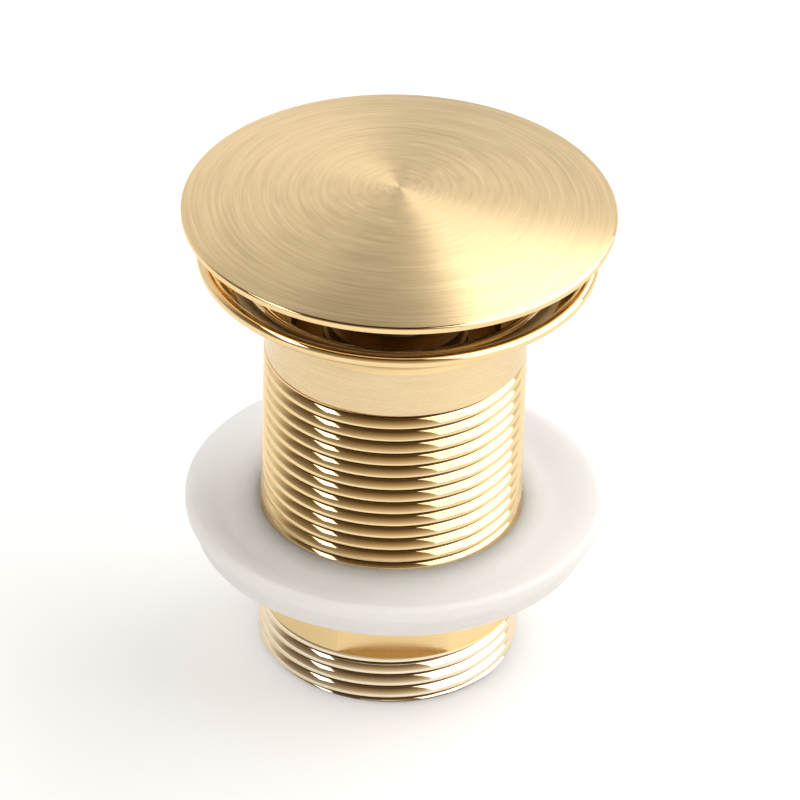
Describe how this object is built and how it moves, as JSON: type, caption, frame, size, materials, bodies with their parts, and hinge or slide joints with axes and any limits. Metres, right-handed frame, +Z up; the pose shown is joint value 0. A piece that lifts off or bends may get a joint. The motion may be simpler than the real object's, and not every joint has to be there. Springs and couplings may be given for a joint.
{
  "type": "pop up basin waste",
  "caption": "Click-action pop up basin waste: domed plug cap over a flanged body with a flared throat, a threaded shank with spanner flats, and a loose silicone washer.",
  "frame": {"origin": "centre of the tail's end face, on which the part stands", "axes": "+Z up the waste's axis to the cap; -Y towards the camera, at the spanner flat that the picture shows"},
  "size_m": [0.0686, 0.0686, 0.0851],
  "materials": {
    "gold_polished": "polished gold-coloured plating on brass",
    "gold_brushed": "circular brushed gold-coloured plating on brass",
    "raw_brass": "turned brass",
    "steel": "bright stainless steel",
    "white_plastic": "moulded acetal",
    "black_rubber": "moulded rubber",
    "silicone": "translucent white silicone"
  },
  "bodies": {
    "waste": {"waste_body": "gold_polished", "bridge": "raw_brass", "bridge_ring": "black_rubber", "cartridge_barrel": "raw_brass", "barrel_nut": "raw_brass", "guide_sleeve": "white_plastic", "return_spring": "steel", "end_plug": "raw_brass", "stem_bush": "white_plastic", "wiper_ring": "black_rubber", "circlip": "steel"},
    "plug": {"stem": "steel", "stem_nut": "steel", "cap": "gold_brushed", "plug_boss": "raw_brass", "seal_carrier": "raw_brass", "plug_seal": "silicone", "clamp_nut": "raw_brass"},
    "cam": {"index_cam": "white_plastic"},
    "washer": {"basin_washer": "silicone"}
  },
  "joints": [
    {"name": "plug_press", "type": "slide", "parent": "waste", "child": "plug", "axis": [0, 0, 1], "range_m": [-0.0055, 0], "stiffness_N_per_m": 900, "springref_m": 0.006, "deforming": ["return_spring"]},
    {"name": "cam_turn", "type": "hinge", "parent": "plug", "child": "cam", "pos_m": [0, 0, 0.0442], "axis": [0, 0, 1], "range_deg": [0, 45]},
    {"name": "washer_slide", "type": "slide", "parent": "waste", "child": "washer", "axis": [0, 0, 1], "range_m": [-0.02, 0.034]}
  ],
  "couplings": [
    {"joint": "cam_turn", "follows": "plug_press", "rad_per_m": -142.7}
  ]
}
